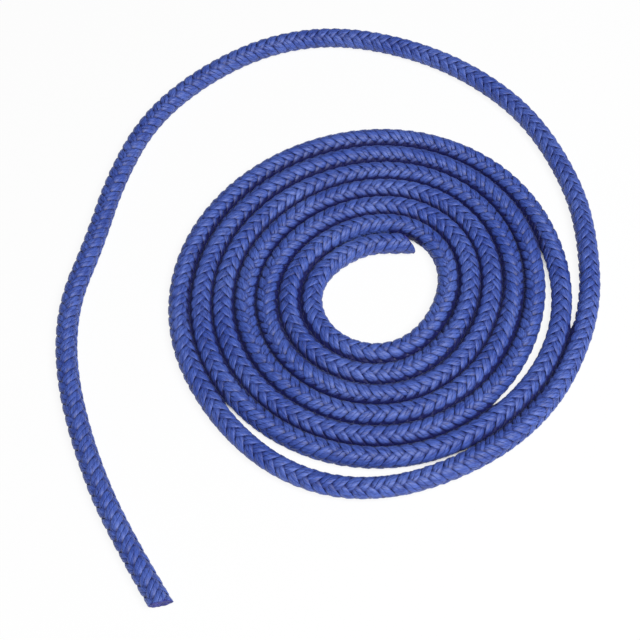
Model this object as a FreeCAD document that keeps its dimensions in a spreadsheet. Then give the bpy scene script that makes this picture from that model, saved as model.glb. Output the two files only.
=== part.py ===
import FreeCAD, Part

import math
import os

from FreeCAD import Placement, Rotation, Vector

# A short length of climbing rope, lying on the floor in one flat layer:
# a spiral of touching turns, and a free tail that swings once round it.
# Millimetres, +Z up. The origin is on the floor, under the middle of the whole rope.
# The rope is a braided sheath over a bundle of parallel core strands, closed by a
# fused seal at each end.

# Driving dimensions: name, value, what it measures. Lengths in mm, angles in degrees,
# places along the spiral in turns.
SIZES = [
    ("rope_diameter", 9.8, "outside of the sheath"),
    ("sheath_wall", 1.2, "thickness of the sheath"),
    ("floor_flat", 0.5, "depth of the flat that the rope's weight presses in it"),
    ("inner_strands", 3, "number of core strands round the middle"),
    ("outer_strands", 9, "number of core strands under the sheath"),
    ("strand_clearance", 0.1, "between core strands, and from them to the sheath"),
    ("inner_seal_length", 4.0, "inner end's seal, along its axis"),
    ("inner_seal_slant", 37.5, "inner end's cut, turned left from square, from above"),
    ("tail_seal_length", 2.3, "tail end's seal, along its axis"),
    ("tail_seal_slant", -20.0, "tail end's cut, turned left from square, from above"),
    ("seal_flare", 0.1, "how much wider the melted ends are at their cut, all round"),
    ("spiral_middle_x", 20.88, "middle of the spiral"),
    ("spiral_middle_y", -4.01, "middle of the spiral"),
    ("turns", 6.7, "turns in the spiral"),
    ("turn_gap", 0.55, "between one turn and the next"),
    ("first_turn_extra", 1.4, "room that the second turn leaves round the first"),
    ("oval_height", 2.6, "how far the spiral is drawn out along its long axis"),
    ("oval_axis", 53.5, "direction of the long axis"),
    ("egg_height", 0.85, "how far one end of the oval is blunter"),
    ("egg_axis", 52.75, "direction of the sharper end"),
    ("inner_straight", 8.0, "straight inner end, up to its seal"),
    ("end_stand_off", 0.772, "how far the straight inner end may stand outside its turn"),
    ("tuck_turns", 0.15, "how much of a turn takes back the rest of that"),
    ("side_slack", 3.05, "gap that the sixth turn leaves on the right"),
    ("lower_slack", 5.38, "gap that the last turn leaves at the bottom"),
    ("leaving_slack", 2.7, "how far the last turn stands off where the tail leaves"),
    ("tail_first_run", 16.0, "straight way on, out of the spiral"),
]

# A core strand with half its clearance all round it takes this radius: as much as lets
# the outer ring close, and lets the inner ring's strands pass under the outer one's.
STRAND_ROOM = (
    "(Sizes.rope_diameter / 2 - Sizes.sheath_wall - Sizes.strand_clearance / 2)"
    " * min(1 / (1 + 1 / sin(180 deg / Sizes.outer_strands)),"
    " 1 / (3 + 1 / sin(180 deg / Sizes.inner_strands)))"
)

# Each slack stretch: how many turns its middle lies before the leaving point, and half
# its length in turns.
SLACK_STRETCHES = [
    ("side_slack", 0.972, 0.13),
    ("lower_slack", 0.218, 0.122),
    ("leaving_slack", -0.04, 0.193),
]

# Where the rope leaves the spiral, x and y. The spiral's turns are laid inwards from it.
LEAVING_POINT = (107.98, -46.2)

# Corners of the tail's route after its first run, x and y, chosen along the curve.
TAIL_POINTS = [
    (124.6, 23.8),
    (120.7, 57.0),
    (103.6, 98.3),
    (77.7, 126.2),
    (45.4, 145.2),
    (5.7, 155.2),
    (-30.5, 149.7),
    (-64.2, 129.7),
    (-92.1, 100.2),
    (-107.1, 62.7),
    (-115.1, 22.9),
    (-124.6, -11.0),
    (-122.6, -47.3),
    (-110.2, -87.6),
    (-93.5, -124.0),
    (-73.8, -155.5),
]

# Share of the shorter run beside a corner that the corner's arc takes.
CORNER_SHARE = 0.45
# Side of the block that trims a seal to its slant, in rope diameters.
KNIFE_SIDE = 4
# Arcs come in pairs, so many pairs to each turn of the spiral.
PAIRS_PER_TURN = 6
# Step, in turns, over which the spiral's heading is measured.
HEADING_STEP = 1e-5
# The gap between turns is measured on points this far apart along the rope, and from
# each point to all those at least so many rope diameters further on.
GAP_STEP = 0.5
GAP_APART = 8

doc = FreeCAD.newDocument("climbing_rope")


def make_sheet():
    sheet = doc.addObject("Spreadsheet::Sheet", "Sizes")
    for row, (alias, value, meaning) in enumerate(SIZES, start=1):
        sheet.set("A%d" % row, meaning)
        sheet.set("B%d" % row, str(value))
        sheet.setAlias("B%d" % row, alias)
    doc.recompute()
    return sheet


sheet = make_sheet()


def size(alias):
    return float(sheet.get(alias))


rope_radius = size("rope_diameter") / 2
bore_radius = rope_radius - size("sheath_wall")
strand_room = float(sheet.evalExpression(STRAND_ROOM))
axis_height = rope_radius - size("floor_flat")
leaving_straight = size("rope_diameter")
up = Vector(0, 0, 1)
spiral_middle = Vector(size("spiral_middle_x"), size("spiral_middle_y"), axis_height)
leaving_point = Vector(*LEAVING_POINT, axis_height)


def spiral_angle(turn):
    # The turns are counted from the inner end, and wind up to the leaving point.
    outwards = leaving_point - spiral_middle
    return math.atan2(outwards.y, outwards.x) + 2 * math.pi * (turn - size("turns"))


def turn_pitch():
    return size("rope_diameter") + size("turn_gap")


def tuck_depth():
    # A straight end stands out of the turn that it ends, the more so the tighter the
    # turn. The inner end is tucked in by this, less the stand-off that it may keep.
    inner_radius = (leaving_point - spiral_middle).Length - turn_pitch() * size("turns")
    return size("inner_straight") ** 2 / (2 * inner_radius) - size("end_stand_off")


def spiral_shape(turn):
    # How far the rope lies outside an even, round spiral.
    angle = spiral_angle(turn)
    shape = size("oval_height") * math.cos(2 * (angle - math.radians(size("oval_axis"))))
    shape += size("egg_height") * math.cos(3 * (angle - math.radians(size("egg_axis"))))
    shape -= size("first_turn_extra") * math.exp(-turn)
    shape -= tuck_depth() * max(0.0, 1 - turn / size("tuck_turns")) ** 2
    for alias, before_leaving, half in SLACK_STRETCHES:
        place = (turn - size("turns") + before_leaving) / half
        wave = math.cos(math.pi * max(-1.0, min(1.0, place)))
        shape += size(alias) * (1 + wave) / 2
    return shape


def spiral_point(turn):
    radius = (leaving_point - spiral_middle).Length
    radius += turn_pitch() * (turn - size("turns"))
    radius += spiral_shape(turn) - spiral_shape(size("turns"))
    angle = spiral_angle(turn)
    return spiral_middle + Vector(math.cos(angle), math.sin(angle), 0) * radius


def spiral_heading(turn):
    behind = spiral_point(max(turn - HEADING_STEP, 0.0))
    return (spiral_point(turn + HEADING_STEP) - behind).normalize()


# A route is a list of pieces. A straight piece holds its two ends; a bent piece holds its
# two ends, its middle point, its centre and +1 for a left turn or -1 for a right turn.


def straight(start, end):
    return {"start": start, "end": end}


def bend(start, heading, end):
    # The arc that leaves start along heading and reaches end.
    chord = end - start
    left = up.cross(heading)
    reach = chord.dot(chord) / (2 * chord.dot(left))
    centre = start + left * reach
    middle = centre + ((start + end) * 0.5 - centre).normalize() * abs(reach)
    return {"start": start, "end": end, "middle": middle, "centre": centre,
            "side": math.copysign(1.0, reach)}


def end_heading(piece):
    if "centre" not in piece:
        return (piece["end"] - piece["start"]).normalize()
    return up.cross((piece["end"] - piece["centre"]).normalize()) * piece["side"]


def arc_pair(start, start_heading, end, end_heading_wanted):
    # Two arcs that meet smoothly: each takes an equal length of its own end's tangent.
    chord = end - start
    spread = 2 * (1 - start_heading.dot(end_heading_wanted))
    lean = chord.dot(start_heading + end_heading_wanted)
    reach = (math.sqrt(lean * lean + spread * chord.dot(chord)) - lean) / spread
    joint = (start + start_heading * reach + end - end_heading_wanted * reach) * 0.5
    first = bend(start, start_heading, joint)
    return [first, bend(joint, end_heading(first), end)]


def spiral_route():
    # A straight end, the turns as pairs of arcs, and a straight end again.
    pairs = round(size("turns") * PAIRS_PER_TURN)
    marks = [size("turns") * step / pairs for step in range(pairs + 1)]
    begin = spiral_point(0.0)
    route = [straight(begin - spiral_heading(0.0) * size("inner_straight"), begin)]
    for here, there in zip(marks, marks[1:]):
        route += arc_pair(spiral_point(here), spiral_heading(here),
                          spiral_point(there), spiral_heading(there))
    finish = route[-1]["end"]
    return route + [straight(finish, finish + end_heading(route[-1]) * leaving_straight)]


def tail_route(start, heading):
    # Straight runs joined by tangent arcs.
    corners = [start, start + heading * size("tail_first_run")]
    corners += [Vector(x, y, axis_height) for x, y in TAIL_POINTS]
    route = []
    here = start
    for before, corner, after in zip(corners, corners[1:], corners[2:]):
        run_in = corner - before
        run_out = after - corner
        cut = CORNER_SHARE * min(run_in.Length, run_out.Length)
        run_in.normalize()
        run_out.normalize()
        bend_start = corner - run_in * cut
        bend_end = corner + run_out * cut
        route.append(straight(here, bend_start))
        route.append(bend(bend_start, run_in, bend_end))
        here = bend_end
    return route + [straight(here, corners[-1])]


def beside(route, leftwards, upwards):
    # The same route, moved sideways and up inside the rope: straights move across,
    # arcs keep their centre.
    moved = []
    lift = up * upwards
    for piece in route:
        if "centre" not in piece:
            across = up.cross(end_heading(piece)) * leftwards + lift
            moved.append(straight(piece["start"] + across, piece["end"] + across))
            continue
        centre = piece["centre"]
        radius = (piece["start"] - centre).Length
        scale = (radius - leftwards * piece["side"]) / radius
        shifted = dict(piece, centre=centre + lift)
        for key in ("start", "middle", "end"):
            shifted[key] = centre + (piece[key] - centre) * scale + lift
        moved.append(shifted)
    return moved


def wire_of(route):
    edges = []
    for piece in route:
        if "centre" in piece:
            curve = Part.Arc(piece["start"], piece["middle"], piece["end"])
        else:
            curve = Part.LineSegment(piece["start"], piece["end"])
        edges.append(curve.toShape())
    return Part.Wire(edges)


def add_route(name, route):
    feature = doc.addObject("Part::Feature", name)
    feature.Shape = wire_of(route)
    return feature


def add_tube(name, route_feature, heading, radius_rule):
    # A round section at the route's start, swept along the whole route.
    ring = doc.addObject("Part::Circle", name + "_section")
    ring.setExpression("Radius", radius_rule)
    ring.Placement = Placement(route_feature.Shape.Vertexes[0].Point, Rotation(up, heading))
    tube = doc.addObject("Part::Sweep", name)
    tube.Sections = [ring]
    edge_names = ["Edge%d" % number for number in range(1, len(route_feature.Shape.Edges) + 1)]
    tube.Spine = (route_feature, edge_names)
    tube.Solid = True
    tube.Frenet = False
    return tube


def add_cut(name, base, tool):
    cut = doc.addObject("Part::Cut", name)
    cut.Base = base
    cut.Tool = tool
    return cut


def add_floor_block(name):
    # Everything below the floor, taken off the rope where it lies flat. The block
    # reaches twice as far out as the tail does, every way.
    block = doc.addObject("Part::Box", name)
    reach = 2 * max(abs(value) for corner in TAIL_POINTS for value in corner)
    block.Length = 2 * reach
    block.Width = 2 * reach
    block.setExpression("Height", "Sizes.rope_diameter")
    depth = Vector(-reach, -reach, -size("rope_diameter"))
    block.Placement = Placement(depth, Rotation())
    return block


def add_sheath(name, route):
    # The sheath is a hollow tube with a flat underside.
    line = add_route(name + "_line", route)
    heading = end_heading(route[0])
    outside = add_tube(name + "_outside", line, heading, "Sizes.rope_diameter / 2")
    bore = add_tube(name + "_bore", line, heading,
                    "Sizes.rope_diameter / 2 - Sizes.sheath_wall")
    hollow = add_cut(name + "_hollow", outside, bore)
    return add_cut(name, hollow, add_floor_block(name + "_floor"))


def strand_places():
    # Middles of the core strands across the rope: an inner ring whose strands lie side
    # by side, and an outer ring under the sheath.
    inner = round(size("inner_strands"))
    outer = round(size("outer_strands"))
    inner_ring = strand_room / math.sin(math.pi / inner)
    outer_ring = bore_radius - size("strand_clearance") / 2 - strand_room
    places = []
    for count, ring in ((inner, inner_ring), (outer, outer_ring)):
        for number in range(count):
            angle = 2 * math.pi * (number + 0.5) / count
            places.append((ring * math.cos(angle), ring * math.sin(angle)))
    return places


def add_strands(route):
    # One unbroken strand for each place, from one end of the rope to the other.
    heading = end_heading(route[0])
    strand_rule = STRAND_ROOM + " - Sizes.strand_clearance / 2"
    strands = []
    for number, (leftwards, upwards) in enumerate(strand_places(), start=1):
        name = "core_strand_%02d" % number
        line = add_route(name + "_line", beside(route, leftwards, upwards))
        strands.append(add_tube(name, line, heading, strand_rule))
    return strands


def add_seal(end, seat, outward):
    # A slug of fused yarn that stands on the end of the rope, a little wider at its far
    # end, and trimmed on a slant, so it is longer on one side.
    slug = doc.addObject("Part::Cone", end + "_end_slug")
    slug.setExpression("Radius1", "Sizes.rope_diameter / 2")
    slug.setExpression("Radius2", "Sizes.rope_diameter / 2 + Sizes.seal_flare")
    rise = "(Sizes.rope_diameter / 2 + Sizes.seal_flare)"
    rise += " * tan(abs(Sizes.%s_seal_slant) * 1 deg)" % end
    slug.setExpression("Height", "Sizes.%s_seal_length + %s" % (end, rise))
    slug.Placement = Placement(seat, Rotation(up, outward))
    knife = doc.addObject("Part::Box", end + "_end_knife")
    for side in ("Length", "Width", "Height"):
        knife.setExpression(side, "%d * Sizes.rope_diameter" % KNIFE_SIDE)
    face_middle = seat + outward * size(end + "_seal_length")
    face_normal = Rotation(up, size(end + "_seal_slant")).multVec(outward)
    face_side = up.cross(face_normal)
    half = KNIFE_SIDE * size("rope_diameter") / 2
    corner = face_middle - (face_side + up) * half
    knife.Placement = Placement(corner, Rotation(face_normal, face_side, up, "XYZ"))
    trimmed = add_cut(end + "_end_trimmed", slug, knife)
    return add_cut(end + "_end_seal", trimmed, add_floor_block(end + "_end_floor"))


def check(subparts):
    for thing in doc.Objects:
        if "Invalid" in thing.State or "Error" in thing.State:
            raise RuntimeError("%s failed: %s" % (thing.Name, thing.State))
    for subpart in subparts:
        shape = subpart.Shape
        if shape.isNull() or not shape.isValid() or len(shape.Solids) != 1:
            raise RuntimeError("%s is not one good solid" % subpart.Label)


def least_gap(line):
    # Least gap from the rope to itself, on points. From a point that is far away, the
    # next ones can be skipped, because each step brings them nearer by a step at most.
    points = line.discretize(Distance=GAP_STEP)
    apart = round(GAP_APART * size("rope_diameter") / GAP_STEP)
    least = float("inf")
    for index, point in enumerate(points):
        ahead = index + apart
        while ahead < len(points):
            distance = (points[ahead] - point).Length
            least = min(least, distance)
            ahead += max(1, int((distance - least) / GAP_STEP))
    return least - size("rope_diameter")


def bend_radii(route):
    return [(piece["start"] - piece["centre"]).Length for piece in route if "centre" in piece]


def report_route(whole, coil, tail):
    whole_length = wire_of(whole).Length
    print("rope %.1f mm long between its seals, %.1f mm of it in the spiral"
          % (whole_length, wire_of(coil).Length))
    print("least gap from the rope to itself %.3f mm" % least_gap(wire_of(whole)))
    print("tightest bend of the spiral %.1f mm" % min(bend_radii(coil)))
    print("bends of the tail", " ".join("%.0f" % radius for radius in bend_radii(tail)))
    return whole_length


def report_solids(subparts, whole_length):
    for subpart in subparts:
        print("%s: volume %.1f mm3, %d faces"
              % (subpart.Label, subpart.Shape.Volume, len(subpart.Shape.Faces)))
    # The sheath's section is a ring, less the slice that the floor takes off it.
    half_angle = math.acos(axis_height / rope_radius)
    slice_off = rope_radius ** 2 * (half_angle - math.sin(2 * half_angle) / 2)
    section = math.pi * (rope_radius ** 2 - bore_radius ** 2) - slice_off
    sheath = sum(subpart.Shape.Volume for subpart in subparts if "sheath" in subpart.Label)
    print("sheath %.4f of its section by its length" % (sheath / (section * whole_length)))
    box = FreeCAD.BoundBox()
    for subpart in subparts:
        box.add(subpart.Shape.optimalBoundingBox(True, False))
    print("box", box)


coil_part = spiral_route()
tail_part = tail_route(coil_part[-1]["end"], end_heading(coil_part[-1]))
whole_route = coil_part[:-1] + [straight(coil_part[-1]["start"], tail_part[0]["end"])]
whole_route += tail_part[1:]

sheath_coil = add_sheath("sheath_coil", coil_part)
sheath_tail = add_sheath("sheath_tail", tail_part)
strands = add_strands(whole_route)
inner_seal = add_seal("inner", coil_part[0]["start"], end_heading(coil_part[0]) * -1)
tail_seal = add_seal("tail", tail_part[-1]["end"], end_heading(tail_part[-1]))
subparts = [sheath_coil, sheath_tail] + strands + [inner_seal, tail_seal]

doc.recompute()
check(subparts)
report_solids(subparts, report_route(whole_route, coil_part, tail_part))

os.makedirs("parts", exist_ok=True)
for subpart in subparts:
    subpart.Shape.exportStep("parts/%s.step" % subpart.Label)
print("%d sub-parts written" % len(subparts))
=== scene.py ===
# %% [markdown]
# # A braided climbing rope, laid in a flat spiral
#
# The object is one short length of rope: a sheath of sixteen blue yarns, braided in pairs,
# two over two, round a core of twelve white strands, with both ends melted shut. It lies on
# the floor in a spiral of nearly seven turns, and a free tail swings once round the spiral.
#
# The lesson builds it as a rope maker would think of it. First comes the line that the
# rope lies on, then one braid rule that every yarn obeys, then the core, the melted ends,
# the finishes, and last the floor and the lights.

import math

import bpy
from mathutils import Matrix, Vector


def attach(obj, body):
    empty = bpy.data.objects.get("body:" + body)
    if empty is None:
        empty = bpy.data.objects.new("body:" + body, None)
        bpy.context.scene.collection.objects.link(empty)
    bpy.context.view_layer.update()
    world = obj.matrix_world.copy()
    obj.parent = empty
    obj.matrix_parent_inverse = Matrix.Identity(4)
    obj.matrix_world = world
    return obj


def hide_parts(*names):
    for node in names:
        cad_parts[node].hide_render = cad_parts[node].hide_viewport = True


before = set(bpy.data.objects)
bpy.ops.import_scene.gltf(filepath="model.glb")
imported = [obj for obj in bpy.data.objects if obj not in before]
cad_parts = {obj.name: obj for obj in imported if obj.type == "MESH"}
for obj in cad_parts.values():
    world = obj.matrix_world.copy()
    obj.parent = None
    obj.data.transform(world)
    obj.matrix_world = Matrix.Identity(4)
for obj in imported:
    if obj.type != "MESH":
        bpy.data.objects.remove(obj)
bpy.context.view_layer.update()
MM = 0.001

# %% [markdown]
# ## The camera
#
# The photograph looks down on the rope at sixty degrees, from rather close, so the far
# side of the spiral is a little smaller than the near side. A camera is placed by where
# it stands and what it looks at. `to_track_quat` turns that line of sight into a
# rotation, which is easier to change later than three angles.

# %% Camera
CAMERA_PLACE = Vector((-5.47, -352.60, 581.53)) * MM
CAMERA_TARGET = Vector((-5.47, -16.85, 0.0)) * MM
LENS_MM = 79.8
SENSOR_MM = 36.0

camera_data = bpy.data.cameras.new("photo_camera")
camera_data.lens = LENS_MM
camera_data.sensor_width = SENSOR_MM
camera = bpy.data.objects.new("photo_camera", camera_data)
camera.location = CAMERA_PLACE
camera.rotation_mode = "QUATERNION"
line_of_sight = CAMERA_TARGET - CAMERA_PLACE
camera.rotation_quaternion = line_of_sight.to_track_quat("-Z", "Y")
bpy.context.scene.collection.objects.link(camera)
bpy.context.scene.camera = camera
print("camera stands %.0f mm from its target" % (line_of_sight.length / MM))

# %% [markdown]
# ## The line of the rope
#
# A rope takes one smooth line. The spiral follows a rule: each turn lies a rope's
# thickness and a small gap outside the last, the turns are a little oval, the first turn
# lies a little further in, and three stretches lie slack. The tail was laid by hand, so
# its points are simply listed.
#
# A spline that is laid on points of a circle runs inside them. Its radius is theirs
# times the cosine of half the angle between two points, so the points are put that much
# further out.

# %% Sizes of the rope and of its spiral, in mm and turns
ROPE_DIAMETER = 9.8
AXIS_HEIGHT = 4.4
INNER_STRAIGHT = 8.0
INNER_SEAL = 4.0
TAIL_SEAL = 2.3
TURNS = 6.7
TURN_GAP = 0.55
SPIRAL_MIDDLE = Vector((20.88, -4.01))
LEAVING_POINT = Vector((107.98, -46.2))
OVAL_HEIGHT, OVAL_AXIS = 2.6, math.radians(53.5)
EGG_HEIGHT, EGG_AXIS = 0.85, math.radians(52.75)
FIRST_TURN_EXTRA = 1.4
TUCK_DEPTH, TUCK_TURNS = 0.39, 0.15
SLACK_STRETCHES = [(3.05, 0.972, 0.13), (5.38, 0.218, 0.122), (2.7, -0.04, 0.193)]
TURN_BIT = 0.001
POINTS_PER_TURN = 24
TAIL_POINTS = [
    (122.4, -13.2), (124.6, 23.8), (120.7, 57.0), (103.6, 98.3), (77.7, 126.2),
    (45.4, 145.2), (5.7, 155.2), (-30.5, 149.7), (-64.2, 129.7), (-92.1, 100.2),
    (-107.1, 62.7), (-115.1, 22.9), (-124.6, -11.0), (-122.6, -47.3), (-110.2, -87.6),
    (-93.5, -124.0), (-73.8, -155.5),
]
outwards = LEAVING_POINT - SPIRAL_MIDDLE
leaving_angle = math.atan2(outwards.y, outwards.x)


# %% The spiral's rule
def spiral_angle(turn):
    """Direction from the spiral's middle. Turns count from the inner end."""
    return leaving_angle + 2 * math.pi * (turn - TURNS)


def spiral_shape(turn):
    """How far the rope lies outside an even, round spiral."""
    angle = spiral_angle(turn)
    shape = OVAL_HEIGHT * math.cos(2 * (angle - OVAL_AXIS))
    shape += EGG_HEIGHT * math.cos(3 * (angle - EGG_AXIS))
    shape -= FIRST_TURN_EXTRA * math.exp(-turn)
    shape -= TUCK_DEPTH * max(0.0, 1 - turn / TUCK_TURNS) ** 2
    for height, before_leaving, half in SLACK_STRETCHES:
        place = (turn - TURNS + before_leaving) / half
        shape += height * (1 + math.cos(math.pi * max(-1.0, min(1.0, place)))) / 2
    return shape


def spiral_point(turn, outset=1.0):
    radius = outwards.length + (ROPE_DIAMETER + TURN_GAP) * (turn - TURNS)
    radius += spiral_shape(turn) - spiral_shape(TURNS)
    angle = spiral_angle(turn)
    return SPIRAL_MIDDLE + Vector((math.cos(angle), math.sin(angle))) * radius * outset


# %% All the route's points
def route_points():
    """From the cut face in the middle of the spiral to the cut face of the tail."""
    begin = spiral_point(0.0)
    inwards = (begin - spiral_point(TURN_BIT)).normalized()
    cut_face = begin + inwards * (INNER_STRAIGHT + INNER_SEAL)
    points = [cut_face, begin + inwards * ROPE_DIAMETER / 2]
    outset = 1 / math.cos(math.pi / POINTS_PER_TURN)
    steps = round(TURNS * POINTS_PER_TURN)
    points += [spiral_point(TURNS * step / steps, outset) for step in range(steps + 1)]
    points += [Vector(point) for point in TAIL_POINTS]
    last_run = (points[-1] - points[-2]).normalized()
    points[-1] = points[-1] + last_run * TAIL_SEAL
    return [Vector((point.x, point.y, AXIS_HEIGHT)) * MM for point in points]


control_points = route_points()
print(len(control_points), "points on the rope's line")


# %% The line itself, as a smooth spline, and the points that it passes
ROUTE_RESOLUTION = 24

route_curve = bpy.data.curves.new("rope_route", "CURVE")
route_curve.dimensions = "3D"
route_curve.resolution_u = ROUTE_RESOLUTION
spline = route_curve.splines.new("NURBS")
spline.points.add(len(control_points) - 1)
for spline_point, place in zip(spline.points, control_points):
    spline_point.co = (*place, 1.0)
spline.order_u = 3
spline.use_endpoint_u = True
route_object = bpy.data.objects.new("rope_route", route_curve)
bpy.context.scene.collection.objects.link(route_object)
graph = bpy.context.evaluated_depsgraph_get()
route_mesh = bpy.data.meshes.new_from_object(route_object.evaluated_get(graph))
bpy.data.objects.remove(route_object)
route_line = [vertex.co.copy() for vertex in route_mesh.vertices]
ROPE_LENGTH = sum((b - a).length for a, b in zip(route_line, route_line[1:]))
print("the line has %d points and is %.1f mm long" % (len(route_line), ROPE_LENGTH / MM))

# %% [markdown]
# ## A braid is never quite even
#
# Along a real rope the braid is a little longer here and shorter there, and the rope is
# twisted as it is laid down. Both are listed, as a slip along the rope and a twist round it.
# They were read off the photograph, by where its rows of floats run, and are a smooth guess
# where it doesn't tell. They are kept on the line's points, so that every yarn can look
# them up.

# %% Slip and twist along the rope: distance and slip in mm, twist in degrees
BRAID_SHIFTS = [
    (0, 3.6, 103), (60, 3.5, 102), (120, 2.2, 109), (180, 1.3, 110),
    (240, 0.7, 112), (300, -0.1, 138), (360, -1.7, 119), (420, -4.4, 44),
    (480, -5.3, 8), (540, -4.9, 17), (600, -4.9, 55), (660, -5.7, 64),
    (720, -6.2, 45), (780, -6.9, 13), (840, -7.7, -2), (900, -6.3, 4),
    (960, -5.2, 12), (1020, -5.0, 27), (1080, -5.5, 20), (1140, -6.2, -33),
    (1200, -7.7, -73), (1260, -8.0, -86), (1320, -6.3, -76), (1380, -5.1, -60),
    (1440, -4.5, -40), (1500, -4.4, -45), (1560, -3.7, -76), (1620, -2.7, -104),
    (1680, -2.7, -115), (1740, -2.0, -120), (1800, -0.8, -113), (1860, -0.2, -68),
    (1920, 1.5, 10), (1980, 2.4, 43), (2040, 3.5, 38), (2100, 4.3, 6),
    (2160, 3.1, -61), (2220, 1.3, -116), (2280, 1.5, -112), (2340, 1.5, -115),
    (2400, 2.1, -112), (2460, 3.5, -55), (2520, 3.6, -32), (2580, 2.7, -71),
    (2640, 1.6, -116), (2700, 2.0, -148), (2760, 3.2, -168), (2820, 3.8, -182),
    (2880, 2.4, -186), (2940, -0.2, -182), (3000, -1.5, -172), (3060, -1.8, -158),
    (3120, -2.4, -146), (3180, -1.5, -130), (3240, 0.3, -122), (3300, 1.3, -113),
]


def braid_shift(distance):
    """Slip and twist between two entries of the list, in metres and radians."""
    for first, second in zip(BRAID_SHIFTS, BRAID_SHIFTS[1:]):
        if distance <= second[0]:
            break
    (before, slip_a, twist_a), (after, slip_b, twist_b) = first, second
    share = max(0.0, min(1.0, (distance - before) / (after - before)))
    slip = slip_a + (slip_b - slip_a) * share
    return slip * MM, math.radians(twist_a + (twist_b - twist_a) * share)


shifts = route_mesh.attributes.new("braid_shift", "FLOAT_VECTOR", "POINT")
distances = [0.0]
for before, after in zip(route_line, route_line[1:]):
    distances.append(distances[-1] + (after - before).length)
for number, distance in enumerate(distances):
    shifts.data[number].vector = (*braid_shift(distance / MM), 0.0)
print("braid shifts at both ends:", braid_shift(0.0), braid_shift(ROPE_LENGTH / MM))

# %% [markdown]
# ## Where the turns touch
#
# Turns that lie side by side press each other's sides, and close the gap between them. So
# every point of the line looks for the nearest other turn at its left and at its right, and
# keeps half the way to it. A search tree finds the points nearby quickly. Points that are
# less than SAME_TURN along the rope from each other belong to one turn and don't count.

# %% Half the way to the next turn, at the left and at the right of every point
from mathutils.kdtree import KDTree

FREE_HALF_WAY = 6.2 * MM
SAME_TURN = 40 * MM

tree_of_points = KDTree(len(route_line))
for number, place in enumerate(route_line):
    tree_of_points.insert(place, number)
tree_of_points.balance()
neighbours = route_mesh.attributes.new("half_way", "FLOAT_VECTOR", "POINT")
touching = 0
for number, place in enumerate(route_line):
    ahead = route_line[min(number + 1, len(route_line) - 1)] - route_line[max(number - 1, 0)]
    half_ways = [FREE_HALF_WAY, FREE_HALF_WAY]
    for other, other_number, way in tree_of_points.find_range(place, FREE_HALF_WAY * 2):
        if abs(distances[other_number] - distances[number]) > SAME_TURN:
            side = 0 if ahead.cross(other - place).z > 0 else 1
            half_ways[side] = min(half_ways[side], way / 2)
    neighbours.data[number].vector = (*half_ways, 0.0)
    touching += min(half_ways) < FREE_HALF_WAY
print("points with a turn beside them: %d of %d" % (touching, len(route_line)))

# %% [markdown]
# ## Nodes from Python
#
# Both the shapes and the finishes are made with nodes. Written link by link, a formula
# of ten terms takes a page. So one small class wraps a socket: a plus sign between two
# wires adds a Math node, and every other kind of node comes from one method.


# %% A socket that does arithmetic
class Wire:
    """A socket of a node tree. Sums on wires add Math nodes to their tree."""

    def __init__(self, tree, socket=None):
        self.tree = tree
        self.socket = socket

    def node(self, kind, settings=None, inputs=None, output=0):
        """Adds a node: its settings first, then the values or links of its sockets."""
        new = self.tree.nodes.new(kind)
        for name, value in (settings or {}).items():
            setattr(new, name, value)
        for name, value in (inputs or {}).items():
            if isinstance(value, Wire):
                self.tree.links.new(value.socket, new.inputs[name])
            else:
                new.inputs[name].default_value = value
        return Wire(self.tree, new.outputs[output]) if len(new.outputs) else None

    def output(self, name):
        """Another output of the same node."""
        return Wire(self.tree, self.socket.node.outputs[name])

    def math(self, operation, *others):
        inputs = dict(enumerate((self, *others)))
        return self.node("ShaderNodeMath", {"operation": operation}, inputs)

    def __add__(self, other):
        return self.math("ADD", other)

    __radd__ = __add__

    def __mul__(self, other):
        return self.math("MULTIPLY", other)

    __rmul__ = __mul__

    def __sub__(self, other):
        return self.math("SUBTRACT", other)

    def __rsub__(self, other):
        return self * -1 + other

    def __truediv__(self, other):
        return self.math("DIVIDE", other)

    def __pow__(self, other):
        return self.math("POWER", other)

    def __abs__(self):
        return self.math("ABSOLUTE")

    def limited(self, low, high):
        return self.math("MAXIMUM", low).math("MINIMUM", high)


# %% A geometry tree with named inputs, and the mesh that it makes
def new_tree(name, sizes):
    """An empty geometry tree. Returns it with its incoming wires by name."""
    tree = bpy.data.node_groups.new(name, "GeometryNodeTree")
    tree.interface.new_socket("Geometry", in_out="OUTPUT", socket_type="NodeSocketGeometry")
    kinds = [("Geometry", "NodeSocketGeometry"), ("Material", "NodeSocketMaterial")]
    kinds += [(size, "NodeSocketFloat") for size in sizes]
    for name_of_input, kind in kinds:
        tree.interface.new_socket(name_of_input, in_out="INPUT", socket_type=kind)
    group_input = tree.nodes.new("NodeGroupInput")
    wires = {name: Wire(tree, group_input.outputs[name]) for name, _ in kinds}
    return tree, wires


def finish_tree(mesh, material):
    """The last nodes of every tree: whole, smooth and with its material."""
    whole = mesh.node("GeometryNodeRealizeInstances", inputs={0: mesh})
    smooth = whole.node("GeometryNodeSetShadeSmooth", inputs={0: whole})
    inputs = {"Geometry": smooth, "Material": material}
    painted = smooth.node("GeometryNodeSetMaterial", inputs=inputs)
    painted.node("NodeGroupOutput", inputs={0: painted})


def make_piece(name, tree, values):
    """Runs a tree on the rope's line and keeps what it makes as a plain mesh."""
    maker = bpy.data.objects.new("maker", route_mesh)
    bpy.context.scene.collection.objects.link(maker)
    modifier = maker.modifiers.new("maker", "NODES")
    modifier.node_group = tree
    for socket in tree.interface.items_tree:
        if socket.in_out == "INPUT" and socket.name in values:
            modifier[socket.identifier] = values[socket.name]
    evaluated = maker.evaluated_get(bpy.context.evaluated_depsgraph_get())
    mesh = bpy.data.meshes.new_from_object(evaluated)
    mesh.name = name
    bpy.data.objects.remove(maker)
    piece = bpy.data.objects.new(name, mesh)
    bpy.context.scene.collection.objects.link(piece)
    return piece


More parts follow.
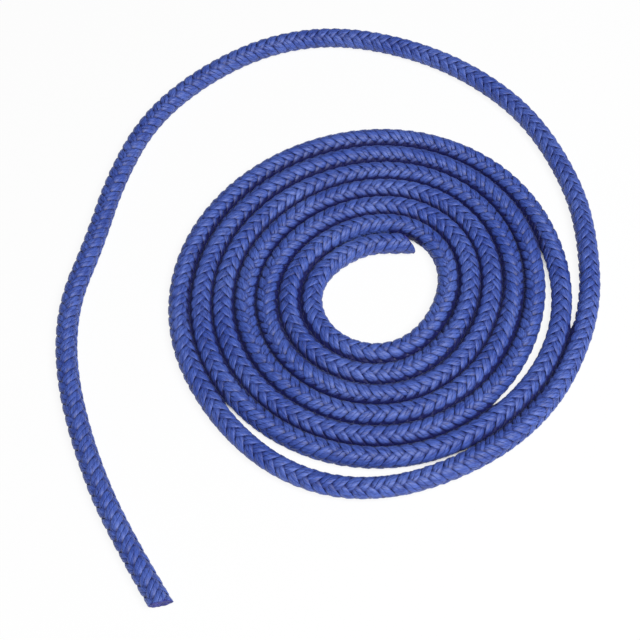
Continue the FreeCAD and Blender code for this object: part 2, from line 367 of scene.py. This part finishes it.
# %% [markdown]
# ## From straight to curled
#
# Braids are simple on a straight rope. Every piece is therefore worked out as if the rope
# were straight: how far along it, how far sideways and how far up from its axis. This
# function then finds that place on the real line. Where the rope rests on the floor its
# weight presses it flat, so nothing goes below zero.


# %% Where a point of the straight rope lies on the curled one
def look_up(mesh_line, name, along):
    """The first two values of an attribute that the line keeps, at a distance along it."""
    line = mesh_line.node("GeometryNodeMeshToCurve", inputs={"Mesh": mesh_line})
    kind = {"data_type": "FLOAT_VECTOR"}
    stored = line.node("GeometryNodeInputNamedAttribute", kind, {"Name": name})
    sampled = line.node(
        "GeometryNodeSampleCurve",
        {"mode": "LENGTH", "data_type": "FLOAT_VECTOR"},
        {"Curves": line, "Value": stored, "Length": along.limited(0.0, ROPE_LENGTH)},
    )
    parts = sampled.node("ShaderNodeSeparateXYZ", inputs={0: sampled})
    return parts, parts.output("Y")


def along_the_line(mesh_line, along, sideways, upwards):
    line = mesh_line.node("GeometryNodeMeshToCurve", inputs={"Mesh": mesh_line})
    on_line = along.limited(0.0, ROPE_LENGTH)
    sampled = line.node(
        "GeometryNodeSampleCurve", {"mode": "LENGTH"}, {"Curves": line, "Length": on_line},
        output="Position",
    )
    place = sampled.node("ShaderNodeSeparateXYZ", inputs={0: sampled})
    heading = sampled.node("ShaderNodeSeparateXYZ", inputs={0: sampled.output("Tangent")})
    ahead_x, ahead_y = heading.output("X"), heading.output("Y")
    beyond = along - on_line
    x = place.output("X") + ahead_x * beyond - ahead_y * sideways
    y = place.output("Y") + ahead_y * beyond + ahead_x * sideways
    z = (place.output("Z") + upwards).math("MAXIMUM", 0.0)
    return place.node("ShaderNodeCombineXYZ", inputs={"X": x, "Y": y, "Z": z})


# %% [markdown]
# ## The braided sheath
#
# The yarns are laid in pairs. Four pairs wind one way and four the other, and each passes
# over two and under two. Think of a lattice: pairs of one hand are its columns and pairs of
# the other hand its rows. One wave on that lattice says who is on top. Where it is high the
# column is over the row, and where it is low it is under, so a pair of the other hand takes
# the same wave upside down, and the two always fit. The stretch of a pair that lies on top
# is called a float.
#
# A yarn starts as a straight tube whose rings are counted. The ring's count gives the
# place along the yarn, and the point's count within its ring gives the place across it.
# The rings crowd where the yarn dives between its neighbours, because that is where it
# bends most. The two yarns of a pair share one low crown, so that a float looks like one
# flat ribbon with a fine groove in it.

# %% The braid: its counts, its sizes in mm, and widths as shares of a pair's column
PAIRS = 8
PAIRS_PER_HAND = PAIRS // 2
BESIDE = 0.25  # from the middle of a pair to the middle of each of its yarns
LAY = 22.73
CROSSING = LAY / PAIRS
STEP_ROUND = math.pi / PAIRS_PER_HAND
BRAID = {
    "Over radius": 4.66,
    "Under radius": 3.85,
    "Over crown": 0.56,
    "Under crown": 0.30,
    "Belly": 0.15,
    "Wide half width": 0.25,
    "Narrow half width": 0.235,
}
WAVE_SHARPNESS = 1.1
FLOAT_ROUNDNESS, DIVE_ROUNDNESS = 0.42, 1.6
SHARE_OF_PAIR = 0.8
print("a pair crosses the next every %.2f mm along the rope" % CROSSING)

# %% How finely a yarn is divided, and how it varies
RINGS_PER_CROSSING = 3
SPARE_CROSSINGS = 8
RING_CROWDING = 0.5
TOP_STEPS, UNDER_STEPS = 9, 3
EDGE_CROWDING = 0.45
MERGE_WITHIN = 0.002
CREST_RATE, CREST_VARIATION = 0.8, 0.11
SIDE_RATE, SIDE_VARIATION, SIDE_SEED = 0.45, 0.035, 300
NUMBER_SEED, HAND_SEED, BESIDE_SEED = 17.3, 41.7, 9.1

# %% Pressed sides, painted shade in the creases, filaments and cuts, in mm and shares of the radius
LOOSE_HALF_WAY, TIGHT_HALF_WAY = 5.62, 5.48
PRESSED_FROM, PRESSED_IN = 0.94, 0.3
# Where a turn lies beside, the creases get painted shade: the height kept for the colour drops
# by up to SHADE_DEPTH mm.
SHADED_FROM, SHADE_DEPTH = 0.74, 1.3
BRAID_MIDDLE_RADIUS = 4.65
FILAMENT_ANGLE = math.radians(20)

# How much further the rope reaches, at its two cuts, for each mm to the left and up.
INNER_CUT = (math.tan(math.radians(37.5)), 0.0)
TAIL_CUT = (math.tan(math.radians(20)), math.tan(math.radians(8)))
CUT_SPARE = 0.3
CUT_ROUNDS = 4


# %% The tree that makes one yarn
def wandering(value, seed):
    """Smooth noise from -1 to 1 along one value."""
    settings = {"noise_dimensions": "1D", "normalize": True}
    inputs = {"W": value + seed, "Scale": 1.0, "Detail": 0.0}
    return value.node("ShaderNodeTexNoise", settings, inputs) * 2 - 1


def share_between(value, none_at, all_at):
    """0 at none_at and before it, 1 at all_at and past it, and even between."""
    return ((value - none_at) / (all_at - none_at)).limited(0.0, 1.0)


def ribbed_tube(start, rings, points):
    """A straight tube. Its points know the count of their ring and their own count."""
    line = start.node("GeometryNodeCurvePrimitiveLine", inputs={"End": (1.0, 0.0, 0.0)})
    resampled = line.node("GeometryNodeResampleCurve", inputs={"Curve": line, "Count": rings})
    circle = line.node("GeometryNodeCurvePrimitiveCircle", inputs={"Resolution": points})
    counted = []
    for curve in (resampled, circle):
        index = curve.node("GeometryNodeInputIndex")
        capture = curve.tree.nodes.new("GeometryNodeCaptureAttribute")
        capture.capture_items.new("FLOAT", "count")
        curve.tree.links.new(curve.socket, capture.inputs[0])
        curve.tree.links.new(index.socket, capture.inputs[1])
        counted.append(Wire(curve.tree, capture.outputs[0]))
        counted.append(Wire(curve.tree, capture.outputs[1]))
    curve, ring, profile, point = counted
    inputs = {"Curve": curve, "Profile Curve": profile, "Fill Caps": True}
    tube = curve.node("GeometryNodeCurveToMesh", inputs=inputs)
    return tube, ring, point


def cut_at(hand, own, end, reach):
    """Where a yarn meets the slanted cut of an end, in crossings from that end."""
    distance, twist = end
    cut = distance / MM / CROSSING
    for _ in range(CUT_ROUNDS):
        angle = hand * (own * hand * 2 + cut) * STEP_ROUND + twist
        far = angle.math("COSINE") * reach[0] + angle.math("SINE") * reach[1]
        cut = far * (ROPE_DIAMETER / 2 / CROSSING) + distance / MM / CROSSING
    return cut


# %% Where each point of a yarn lies: along it in crossings, and across it from -1 to 1
def across_the_yarn(point):
    """Most of a section's points lie on its upper side. Also returns 1 on the lower side."""
    top = (point / TOP_STEPS).math("MINIMUM", 1.0)
    under = ((point - TOP_STEPS) / UNDER_STEPS).math("MAXIMUM", 0.0)
    angle = (top + under) * math.pi
    is_under = (point - TOP_STEPS).limited(0.0, 1.0)
    spread = (1 - top * 2) * (1 - EDGE_CROWDING) + angle.math("COSINE") * EDGE_CROWDING
    return spread * (1 - is_under) + angle.math("COSINE") * is_under, is_under


def along_the_yarn(ring, hand, number, beside, across):
    """A float's middle lies at float_middle, and every two crossings on.

    The yarn ends a little beyond the slanted cuts, and is trimmed to them later."""
    float_middle = hand * (0.5 - number)
    first = (hand * number - SPARE_CROSSINGS / 2 - float_middle).math("FLOOR")
    even = first + (ring + 0.5) / RINGS_PER_CROSSING
    run = float_middle + even + (even * math.pi).math("SINE") * (RING_CROWDING / math.pi)
    start_slip, start_twist = braid_shift(0.0)
    end_slip, end_twist = braid_shift(ROPE_LENGTH / MM)
    own = number + beside + across * BESIDE
    low = cut_at(hand, own, (-start_slip, start_twist), [-share for share in INNER_CUT])
    high = cut_at(hand, own, (ROPE_LENGTH - end_slip, end_twist), TAIL_CUT)
    run = run.math("MAXIMUM", low + hand * own - CUT_SPARE)
    return run.math("MINIMUM", high + hand * own + CUT_SPARE)


# %% The wave, and the shape that follows it
def yarn_section(size, at, across, is_under):
    """The point's column on the lattice, and how far it lies from the rope's axis, in mm."""
    hand, number, beside = size["Hand"], size["Number"], size["Beside"]
    wave = ((hand * at + number - 0.5) * (math.pi / 2)).math("COSINE") * WAVE_SHARPNESS
    wave = hand * wave.math("TANH") / math.tanh(WAVE_SHARPNESS)
    over = wave * 0.5 + 0.5
    flatness = abs(wave)
    narrow = size["Narrow half width"]
    half_width = narrow + (size["Wide half width"] - narrow) * flatness
    seed = number * NUMBER_SEED + hand * HAND_SEED + beside * BESIDE_SEED
    sway = wandering(at * SIDE_RATE, seed + SIDE_SEED) * SIDE_VARIATION
    own = number + beside + across * half_width + sway
    crown = size["Under crown"] + (size["Over crown"] - size["Under crown"]) * over
    crown = crown + wandering(at * CREST_RATE, seed) * CREST_VARIATION * over
    roundness = flatness * (FLOAT_ROUNDNESS - DIVE_ROUNDNESS) + DIVE_ROUNDNESS
    inside = (1 - across * across).math("MAXIMUM", 0.0)
    in_pair = (beside + across * half_width) * 2
    inside_pair = (1 - in_pair * in_pair).math("MAXIMUM", 0.0)
    rise = inside_pair ** roundness * SHARE_OF_PAIR + inside ** roundness * (1 - SHARE_OF_PAIR)
    radius = size["Under radius"] + (size["Over radius"] - size["Under radius"]) * over
    radius = radius + crown * (rise * (1 - is_under))
    return own, radius - size["Belly"] * (inside ** 0.5 * is_under)


# %% The whole tree
def yarn_tree():
    tree, size = new_tree("braid_yarn", ["Hand", "Number", "Beside", *BRAID])
    hand = size["Hand"]
    crossings = math.ceil(ROPE_LENGTH / MM / CROSSING) + SPARE_CROSSINGS
    rings = crossings * RINGS_PER_CROSSING
    tube, ring, point = ribbed_tube(Wire(tree), rings, TOP_STEPS + UNDER_STEPS)
    across, is_under = across_the_yarn(point)
    at = along_the_yarn(ring, hand, size["Number"], size["Beside"], across)
    own, radius = yarn_section(size, at, across, is_under)

    # Its place on the straight rope, and what lies beside the rope there.
    braided = (at - hand * own) * (CROSSING * MM)
    slip, twist = look_up(size["Geometry"], "braid_shift", braided)
    untwisted = hand * (at + hand * own) * STEP_ROUND
    angle = untwisted + twist
    along = braided + slip
    at_left, at_right = look_up(size["Geometry"], "half_way", along)
    leftwards = angle.math("COSINE")
    is_left = leftwards.math("GREATER_THAN", 0.0)
    half_way = (at_right + (at_left - at_right) * is_left) / MM
    touches = share_between(half_way, LOOSE_HALF_WAY, TIGHT_HALF_WAY)

    # The creases get painted shade: where a turn lies beside, the height kept for the colour is
    # lowered, and the finish darkens it. The sides are pressed out to the turn beside them, and
    # a little past half way, so that no slit stays open between two floats.
    painted_crease_shade = share_between(abs(leftwards), SHADED_FROM, 1.0) * touches
    height_less_painted_shade = radius - size["Under radius"] - painted_crease_shade * SHADE_DEPTH
    missing = (half_way + PRESSED_IN - radius).math("MAXIMUM", 0.0)
    aside = share_between(abs(leftwards), PRESSED_FROM, 1.0)
    radius = radius + missing * aside * touches * (1 - is_under)

    # Trimmed to the two cuts, and laid on the real line.
    sideways = leftwards * radius * MM
    upwards = angle.math("SINE") * radius * MM
    start = sideways * -INNER_CUT[0] - upwards * INNER_CUT[1]
    end = sideways * TAIL_CUT[0] + upwards * TAIL_CUT[1] + ROPE_LENGTH
    along = along.math("MAXIMUM", start).math("MINIMUM", end)
    place = along_the_line(size["Geometry"], along, sideways, upwards)
    laid = tube.node("GeometryNodeSetPosition", inputs={"Geometry": tube, "Position": place})

    # What the finish needs: the place along and across the filaments, and the height, less the
    # painted crease shade.
    round_way = untwisted * (BRAID_MIDDLE_RADIUS * MM)
    lean = hand * math.sin(FILAMENT_ANGLE)
    along_filament = braided * math.cos(FILAMENT_ANGLE) + round_way * lean
    across_filament = round_way * math.cos(FILAMENT_ANGLE) - braided * lean
    inputs = {"X": along_filament, "Y": across_filament, "Z": height_less_painted_shade}
    own_place = laid.node("ShaderNodeCombineXYZ", inputs=inputs)
    settings = {"data_type": "FLOAT_VECTOR", "domain": "POINT"}
    inputs = {"Geometry": laid, "Name": "yarn_place", "Value": own_place}
    marked = laid.node("GeometryNodeStoreNamedAttribute", settings, inputs)
    inputs = {"Geometry": marked, "Distance": MERGE_WITHIN * MM}
    merged = marked.node("GeometryNodeMergeByDistance", inputs=inputs)
    flipped = merged.node("GeometryNodeFlipFaces", inputs={"Mesh": merged})
    finish_tree(flipped, size["Material"])
    return tree


braid_tree = yarn_tree()
print("the yarn's tree has", len(braid_tree.nodes), "nodes")

# %% Sixteen yarns from one tree
sheath_material = bpy.data.materials.new("blue_sheath_yarn")
sheath_yarns = []
for count in range(PAIRS * 2):
    pair = count // 2
    values = {
        "Hand": 1.0 if pair < PAIRS_PER_HAND else -1.0,
        "Number": float(pair % PAIRS_PER_HAND),
        "Beside": BESIDE if count % 2 else -BESIDE,
        "Material": sheath_material,
        **BRAID,
    }
    sheath_yarns.append(make_piece("sheath_yarn_%02d" % (count + 1), braid_tree, values))
print("each yarn has", len(sheath_yarns[0].data.polygons), "faces")

# %% [markdown]
# ## The core
#
# Inside lie twelve strands, three in the middle and nine round them, which carry the
# load. They hardly show, but the rope would not be a climbing rope without them. Each is
# three plies twisted together, so its section is a three-lobed clover that turns as it
# goes.

# %% The core's sizes, in mm, and its rings, as the number of strands and the ring's radius
CORE_ROOM = 0.8786
CORE_CLEARANCE = 0.05
BORE_RADIUS = 3.65
CORE_STEP = 2.2
CORE_POINTS = 9
CORE_LOBES = 3
CORE = {"Strand radius": CORE_ROOM - CORE_CLEARANCE, "Lobe depth": 0.16, "Twist length": 21.0}
CORE_RINGS = [(3, CORE_ROOM / math.sin(math.pi / 3)), (9, BORE_RADIUS - CORE_ROOM)]


# %% The tree that makes one core strand
def core_tree():
    tree, size = new_tree("core_strand", ["Sideways", "Upwards", *CORE])
    strand_length = ROPE_LENGTH - (INNER_SEAL + TAIL_SEAL) * MM
    rings = math.ceil(strand_length / (CORE_STEP * MM))
    tube, ring, point = ribbed_tube(Wire(tree), rings, CORE_POINTS)
    along = ring * (strand_length / (rings - 1)) + INNER_SEAL * MM
    corner = point * (2 * math.pi / CORE_POINTS)
    valley = 0.5 - (corner * CORE_LOBES).math("COSINE") * 0.5
    radius = size["Strand radius"] - valley * size["Lobe depth"]
    turned = corner + along / size["Twist length"] * (2 * math.pi / MM)
    sideways = (size["Sideways"] + turned.math("COSINE") * radius) * MM
    upwards = (size["Upwards"] + turned.math("SINE") * radius) * MM
    place = along_the_line(size["Geometry"], along, sideways, upwards)
    laid = tube.node("GeometryNodeSetPosition", inputs={"Geometry": tube, "Position": place})
    finish_tree(laid, size["Material"])
    return tree


# %% Twelve core strands
core_material = bpy.data.materials.new("white_core_strand")
core_maker = core_tree()
core_strands = []
for strands, ring_radius in CORE_RINGS:
    for count in range(strands):
        angle = 2 * math.pi * (count + 0.5) / strands
        values = {
            "Sideways": ring_radius * math.cos(angle),
            "Upwards": ring_radius * math.sin(angle),
            "Material": core_material,
            **CORE,
        }
        name = "core_ply_%02d" % (len(core_strands) + 1)
        core_strands.append(make_piece(name, core_maker, values))
print("each core strand has", len(core_strands[0].data.polygons), "faces")

# %% [markdown]
# ## The melted ends
#
# A hot knife cuts the rope and melts the ends of all its yarns into one skin, which keeps
# the braid from opening. The skin is a lumpy plug: thin at the rim, where the yarns' ends
# stand up as small corners, and deeper in the middle, where it runs into the core. It is
# a profile turned round the rope's axis, so plain mesh code makes it best: ring by ring,
# with a little noise on every point.

# %% The plug's profile, as distance from the axis and depth behind the cut, in mm
from mathutils import noise

PLUG_PROFILE = [
    (3.0, 2.0), (3.6, 1.7), (3.66, 0.8), (4.3, 0.75), (4.72, 0.55), (4.86, 0.3),
    (4.9, 0.1), (4.82, -0.04), (4.6, -0.1), (4.2, -0.08), (3.7, 0.0), (3.1, 0.05),
    (2.5, 0.02), (1.9, 0.08), (1.3, 0.12), (0.7, 0.1),
]
PLUG_STEPS = 120
RIM_FROM, RIM_WIDTH = 4.0, 0.9
FRONT_WITHIN = 0.5
RIM_FLARE, FLARE_FREQUENCY = 0.16, 1.3
RIM_SPIKES, SPIKE_FREQUENCY, SPIKE_SEED = 0.45, 4.5, 5
SPIKE_FORWARD = 0.6
FACE_LUMPS, LUMP_FREQUENCY, LUMP_SEED = 0.16, 1.1, 9
INNER_PLUG_SEED, TAIL_PLUG_SEED = 3.1, 8.4


def plug_noise(angle, radius, frequency, seed):
    place = Vector((math.cos(angle), math.sin(angle), 0)) * radius * frequency
    return noise.noise(place + Vector((0, 0, seed)))


def melted_plug(name, face_middle, inwards, slants, seed):
    """The turned profile of one end, closed at both poles by a point."""
    sideways = Vector((-inwards.y, inwards.x, 0))
    vertices, faces = [], []

    def add_point(angle, radius, depth):
        slant = slants[0] * radius * math.cos(angle) + slants[1] * radius * math.sin(angle)
        place = face_middle + inwards * (depth - slant) * MM
        place += sideways * radius * math.cos(angle) * MM
        place.z = max(0.0, place.z + radius * math.sin(angle) * MM)
        vertices.append(place)

    for radius, depth in PLUG_PROFILE:
        rim = max(0.0, (radius - RIM_FROM) / RIM_WIDTH)
        front = 1.0 if depth < FRONT_WITHIN else 0.0
        for step in range(PLUG_STEPS):
            angle = 2 * math.pi * step / PLUG_STEPS
            flare = plug_noise(angle, 1.0, FLARE_FREQUENCY, seed) * RIM_FLARE
            spike = max(0.0, plug_noise(angle, 1.0, SPIKE_FREQUENCY, seed + SPIKE_SEED))
            spike *= RIM_SPIKES * front
            lumps = plug_noise(angle, radius, LUMP_FREQUENCY, seed + LUMP_SEED)
            lumps *= FACE_LUMPS * front
            wide = radius + rim * (flare + spike)
            add_point(angle, wide, depth + lumps - rim * spike * SPIKE_FORWARD)
    back, front = len(vertices), len(vertices) + 1
    add_point(0.0, 0.0, PLUG_PROFILE[0][1])
    add_point(0.0, 0.0, PLUG_PROFILE[-1][1])
    last = (len(PLUG_PROFILE) - 1) * PLUG_STEPS
    for step in range(PLUG_STEPS):
        after = (step + 1) % PLUG_STEPS
        faces.append((back, step, after))
        faces.append((front, last + after, last + step))
        for ring in range(0, last, PLUG_STEPS):
            next_ring = ring + PLUG_STEPS
            faces.append((ring + step, next_ring + step, next_ring + after, ring + after))
    mesh = bpy.data.meshes.new(name)
    mesh.from_pydata(vertices, [], faces)
    mesh.shade_smooth()
    plug = bpy.data.objects.new(name, mesh)
    bpy.context.scene.collection.objects.link(plug)
    return plug


# %% The two plugs
inner_heading = (route_line[1] - route_line[0]).normalized()
tail_heading = (route_line[-2] - route_line[-1]).normalized()
fused_material = bpy.data.materials.new("melted_yarn")
tail_slants = (-TAIL_CUT[0], TAIL_CUT[1])
inner_plug = melted_plug(
    "melted_inner_end", route_line[0], inner_heading, INNER_CUT, INNER_PLUG_SEED
)
tail_plug = melted_plug(
    "melted_tail_end", route_line[-1], tail_heading, tail_slants, TAIL_PLUG_SEED
)
for plug in (inner_plug, tail_plug):
    plug.data.materials.append(fused_material)
    print(plug.name, "has", len(plug.data.polygons), "faces")

# %% [markdown]
# ## The finishes
#
# A yarn is a bundle of fine filaments. They show as fine strokes that lie a little aslant of
# the rope, and they spread a highlight across it. The tree left each point's place in the
# attribute `yarn_place`: metres along the filaments, metres across them, and how many mm
# the float stands up, less the painted shade of a crease. The strokes are noise, drawn out
# far along the filaments. What lies low, in the dives, pits and creases, gets painted shade:
# its colour is darkened.


# %% Materials from wires
def start_material(material):
    material.use_nodes = True
    material.node_tree.nodes.clear()
    return Wire(material.node_tree)


def finish_material(nodes, varying, constants):
    shader = nodes.node("ShaderNodeBsdfPrincipled", inputs={**constants, **varying})
    nodes.node("ShaderNodeOutputMaterial", inputs={"Surface": shader})


def mixed(low, high, share):
    """A colour between two, by a share from 0 to 1."""
    inputs = {0: share, 6: (*low, 1.0) if isinstance(low, tuple) else low}
    inputs[7] = (*high, 1.0) if isinstance(high, tuple) else high
    start = share if isinstance(share, Wire) else low
    return start.node("ShaderNodeMix", {"data_type": "RGBA"}, inputs, output=2)


def noise_of(vector, scale, detail=2.0):
    inputs = {"Vector": vector, "Scale": scale, "Detail": detail}
    return vector.node("ShaderNodeTexNoise", inputs=inputs)


# %% The blue sheath: its colours, its painted shade, and how often its strokes repeat in a metre
# The deepest colour is painted shade, laid on what lies low.
YARN_PAINTED_SHADE = (0.007, 0.009, 0.095)
YARN_DARK = (0.016, 0.030, 0.190)
YARN_BLUE = (0.058, 0.122, 0.550)
YARN_LIGHT = (0.200, 0.300, 0.780)
PAINTED_SHADE_BELOW, PAINTED_SHADE_STRENGTH = 1.02, 1.7
STREAKS_ALONG, STREAKS_ACROSS, STREAKS_UP, STREAK_DETAIL = 300, 1700, 0.4, 3.0
FILAMENTS_ALONG, FILAMENTS_ACROSS, FILAMENT_DEPTH = 600, 5200, 4.0
STREAK_CONTRAST, FILAMENT_CONTRAST = 2.0, 1.2
PATCHES, LIGHT_FROM, LIGHT_CONTRAST = 55.0, 0.30, 1.1
STREAK_BUMP, FILAMENT_BUMP = 0.6, 0.4
YARN_ROUGHNESS, ROUGHNESS_VARIATION = 0.36, 0.25

nodes = start_material(sheath_material)
place = nodes.node("ShaderNodeAttribute", {"attribute_name": "yarn_place"}, output="Vector")
parts = nodes.node("ShaderNodeSeparateXYZ", inputs={0: place})
along, across, height = parts, parts.output("Y"), parts.output("Z")
inputs = {"X": along * STREAKS_ALONG, "Y": across * STREAKS_ACROSS, "Z": height * STREAKS_UP}
streaks = noise_of(nodes.node("ShaderNodeCombineXYZ", inputs=inputs), 1.0, STREAK_DETAIL)
inputs = {"X": along * FILAMENTS_ALONG, "Y": across * FILAMENTS_ACROSS, "Z": FILAMENT_DEPTH}
filaments = noise_of(nodes.node("ShaderNodeCombineXYZ", inputs=inputs), 1.0)
patches = noise_of(nodes.node("ShaderNodeTexCoord", output="Object"), PATCHES)

strokes = streaks * STREAK_CONTRAST - 0.5 + (filaments - 0.5) * FILAMENT_CONTRAST
strokes = strokes.limited(0.0, 1.0)
light_share = ((patches - LIGHT_FROM) * LIGHT_CONTRAST).limited(0.0, 1.0) * strokes
colour = mixed(mixed(YARN_DARK, YARN_BLUE, strokes), YARN_LIGHT, light_share)
# Painted shade: what lies low, in the dives, pits and pressed creases, is darkened towards the
# deepest colour.
low = ((PAINTED_SHADE_BELOW - height) * PAINTED_SHADE_STRENGTH).limited(0.0, 1.0)
colour = mixed(colour, YARN_PAINTED_SHADE, low)
relief = streaks * STREAK_BUMP + filaments * FILAMENT_BUMP
inputs = {"Strength": 0.9, "Distance": 0.00018, "Height": relief}
bump = nodes.node("ShaderNodeBump", inputs=inputs, output="Normal")
roughness = filaments * ROUGHNESS_VARIATION + YARN_ROUGHNESS
finish_material(
    nodes,
    {"Base Color": colour, "Roughness": roughness, "Normal": bump},
    {"Specular IOR Level": 0.5, "Sheen Weight": 0.15, "Sheen Roughness": 0.4,
     "Sheen Tint": (0.55, 0.65, 1.0, 1.0)},
)

# %% The white core
CORE_GREY, CORE_WHITE = (0.60, 0.60, 0.56), (0.86, 0.86, 0.82)
CORE_SPECKS = 900.0

nodes = start_material(core_material)
specks = noise_of(nodes.node("ShaderNodeTexCoord", output="Object"), CORE_SPECKS)
finish_material(nodes, {"Base Color": mixed(CORE_GREY, CORE_WHITE, specks)}, {"Roughness": 0.75})

# %% The melted skin
MELT_DARK, MELT_BLUE = (0.014, 0.020, 0.140), (0.075, 0.080, 0.480)
MELT_PATCHES, MELT_CONTRAST, MELT_DARKER = 700.0, 2.4, 0.75
GLAZE_SPECKS = 1900.0
MELT_ROUGHNESS, GLAZE_VARIATION = 0.45, 0.3

nodes = start_material(fused_material)
body = nodes.node("ShaderNodeTexCoord", output="Object")
melt = noise_of(body, MELT_PATCHES, 3.0)
glaze = noise_of(body, GLAZE_SPECKS)
melt_share = (melt * MELT_CONTRAST - MELT_DARKER).limited(0.0, 1.0)
inputs = {"Strength": 0.6, "Distance": 0.0001, "Height": glaze}
bump = nodes.node("ShaderNodeBump", inputs=inputs, output="Normal")
colour = mixed(MELT_DARK, MELT_BLUE, melt_share)
roughness = glaze * GLAZE_VARIATION + MELT_ROUGHNESS
finish_material(
    nodes,
    {"Base Color": colour, "Roughness": roughness, "Normal": bump},
    {"Specular IOR Level": 0.2},
)
print("three finishes made")

# %% [markdown]
# ## Floor and light
#
# The photograph is a catalogue picture: white floor, soft light and hardly a shadow. One
# large square lamp stands high above the near right side, and a pale sky lightens what the
# lamp doesn't reach. The floor is a nearly white paint. Seen from the camera it also glows,
# except close to the rope, where it keeps its own shade. So the floor reads as white, while
# the blue is the yarn's own.

# %% The floor
FLOOR_SIDE = 40.0
FLOOR_PAINT = (0.93, 0.93, 0.93, 1.0)
WHITE = (1.0, 1.0, 1.0, 1.0)
FLOOR_GLOW = 0.88
OPENNESS_REACH = 0.03
CLOSED_IN, OPEN = 0.03, 0.12
FLOOR_DROP = 0.2 * MM
floor_mesh = bpy.data.meshes.new("floor")
half = FLOOR_SIDE / 2
corners = [(-half, -half), (half, -half), (half, half), (-half, half)]
floor_mesh.from_pydata([(x, y, -FLOOR_DROP) for x, y in corners], [], [(0, 1, 2, 3)])
floor = bpy.data.objects.new("floor", floor_mesh)
bpy.context.scene.collection.objects.link(floor)
floor_material = bpy.data.materials.new("white_floor")
nodes = start_material(floor_material)
paint = nodes.node("ShaderNodeBsdfDiffuse", inputs={"Color": FLOOR_PAINT})
glow = nodes.node("ShaderNodeEmission", inputs={"Color": WHITE, "Strength": 1.0})
seen = nodes.node("ShaderNodeLightPath", output="Is Camera Ray")
inputs = {"Distance": OPENNESS_REACH}
openness = nodes.node("ShaderNodeAmbientOcclusion", inputs=inputs, output="AO")
glow_share = share_between(openness, CLOSED_IN, OPEN) * FLOOR_GLOW
whole = nodes.node("ShaderNodeMixShader", inputs={0: seen * glow_share, 1: paint, 2: glow})
nodes.node("ShaderNodeOutputMaterial", inputs={"Surface": whole})
floor_mesh.materials.append(floor_material)
print("the floor is %.0f m wide" % FLOOR_SIDE)

# %% The lamp and the world
LAMP_PLACE = Vector((0.45, -0.50, 1.4))
LAMP_SIDE, LAMP_POWER = 1.0, 28.0
SKY_STRENGTH = 0.08

light = bpy.data.lights.new("near_softbox", "AREA")
light.size = LAMP_SIDE
light.energy = LAMP_POWER
lamp = bpy.data.objects.new("near_softbox", light)
lamp.location = LAMP_PLACE
lamp.rotation_mode = "QUATERNION"
lamp.rotation_quaternion = (-LAMP_PLACE).to_track_quat("-Z", "Y")
bpy.context.scene.collection.objects.link(lamp)

world = bpy.data.worlds.new("studio")
world.use_nodes = True
world.node_tree.nodes.clear()
nodes = Wire(world.node_tree)
sky = nodes.node("ShaderNodeBackground", inputs={"Color": WHITE, "Strength": SKY_STRENGTH})
nodes.node("ShaderNodeOutputWorld", inputs={"Surface": sky})
bpy.context.scene.world = world
bpy.context.scene.view_settings.view_transform = "Standard"
print("the lamp stands %.2f m from the rope" % LAMP_PLACE.length)

# %% [markdown]
# ## What stands for what
#
# The sixteen yarns stand for the sheath's two CAD solids, each core strand for its own,
# and each plug for its seal.

# %% The pieces and their places in the imported model
for yarn in sheath_yarns:
    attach(yarn, "root")
    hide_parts("sheath_coil", "sheath_tail")
for count, strand in enumerate(core_strands, start=1):
    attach(strand, "root")
    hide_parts("core_strand_%02d" % count)
for plug, node in ((inner_plug, "inner_end_seal"), (tail_plug, "tail_end_seal")):
    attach(plug, "root")
    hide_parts(node)
